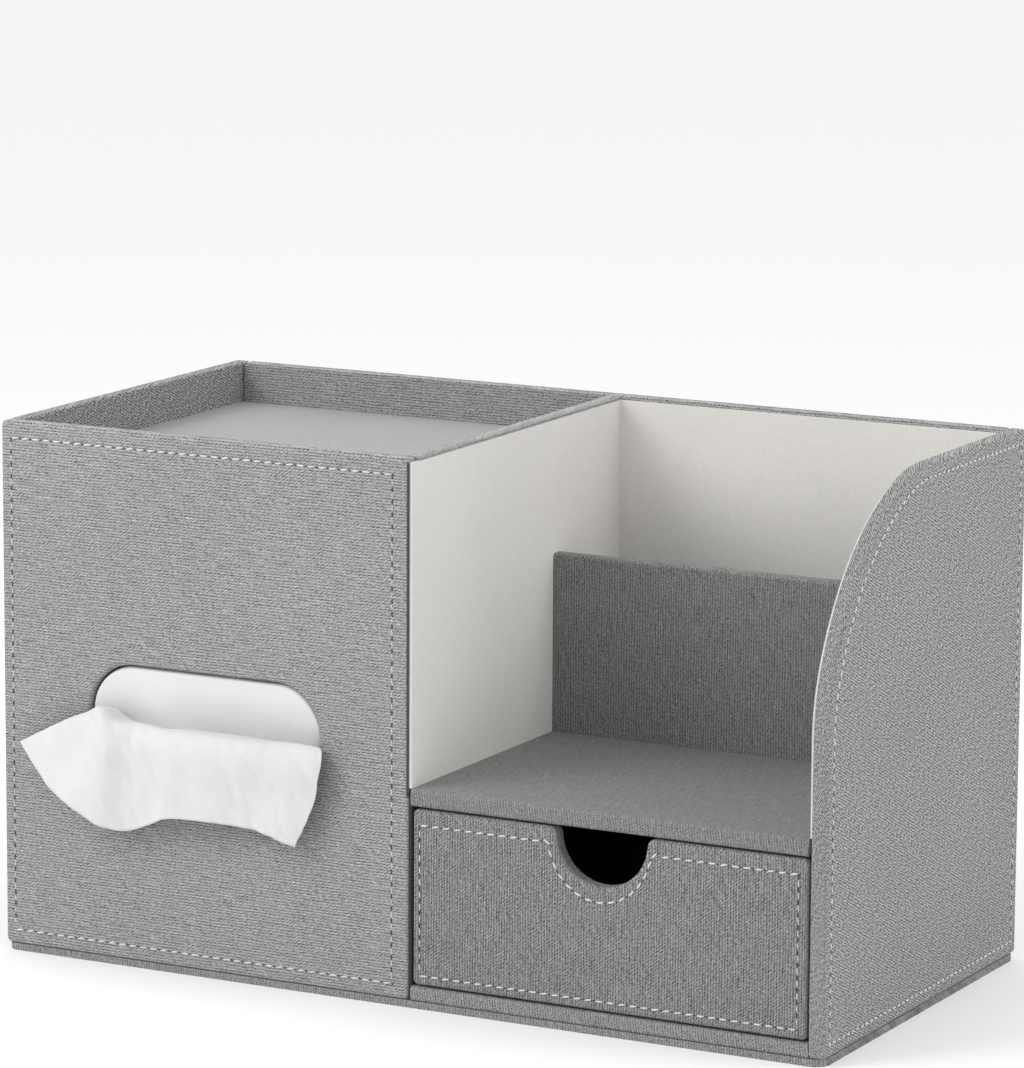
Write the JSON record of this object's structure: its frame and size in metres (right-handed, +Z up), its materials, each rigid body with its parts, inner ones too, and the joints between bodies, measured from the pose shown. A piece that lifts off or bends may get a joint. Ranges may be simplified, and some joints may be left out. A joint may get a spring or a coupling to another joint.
{
  "type": "tissue box with drawer",
  "caption": "Desk organiser covered in grey leather cloth: tissue chamber with a tray on top, open shelf, rear pocket, one drawer and a loading flap at the back.",
  "frame": {"origin": "middle of the underside of the base", "axes": "+X to the right seen from the front, -Y out of the front, +Z up"},
  "size_m": [0.26, 0.1443, 0.155],
  "materials": {
    "leather": "woven-grain leather cloth, matt",
    "white_lining": "smooth off-white cloth",
    "black_lining": "matt black lining paper",
    "greyboard": "raw pressed board",
    "black_drawer_board": "board covered in black cloth",
    "black_felt": "short black felt",
    "magnet": "plated",
    "strike": "plain",
    "tissue": "soft white tissue"
  },
  "bodies": {
    "carcass": {"base_board": "greyboard", "base_cover": "leather", "bay_floor_board": "greyboard", "bay_floor_cover": "leather", "bay_lining_left": "black_lining", "bay_lining_right": "black_lining", "divider_board": "greyboard", "divider_cover": "leather", "flap_stop": "greyboard", "front_back_lining": "black_lining", "front_board": "greyboard", "front_cover": "leather", "hinge_strip_fixed": "leather", "left_back_lining": "black_lining", "left_board": "greyboard", "left_cover": "leather", "partition_board": "greyboard", "partition_cover": "leather", "partition_lining": "white_lining", "pocket_mat": "black_felt", "pulled_tissue": "tissue", "rear_back_lining": "black_lining", "rear_board": "greyboard", "rear_cover": "leather", "rear_lining": "white_lining", "right_back_lining": "black_lining", "right_board": "greyboard", "right_cover": "leather", "right_lining": "white_lining", "shelf_board": "greyboard", "shelf_cover": "leather", "strike_plates": "strike", "tissue_pack": "tissue", "tray_floor": "greyboard", "tray_mat": "leather"},
    "drawer": {"drawer_front_board": "greyboard", "drawer_front_cover": "leather", "drawer_front_lining": "black_lining", "drawer_side_left": "black_drawer_board", "drawer_side_right": "black_drawer_board", "drawer_back": "black_drawer_board", "drawer_bottom": "black_drawer_board", "drawer_mat": "black_felt"},
    "rear_flap": {"flap_board": "greyboard", "flap_cover": "leather", "flap_lining": "black_lining", "flap_magnets": "magnet", "hinge_strip_moving": "leather"}
  },
  "joints": [
    {"name": "drawer_slide", "type": "slide", "parent": "carcass", "child": "drawer", "axis": [0, -1, 0], "range_m": [0, 0.072]},
    {"name": "flap_hinge", "type": "hinge", "parent": "carcass", "child": "rear_flap", "pos_m": [-0.06325, 0.0668, 0.1257], "axis": [1, 0, 0], "range_deg": [0, 110]}
  ]
}
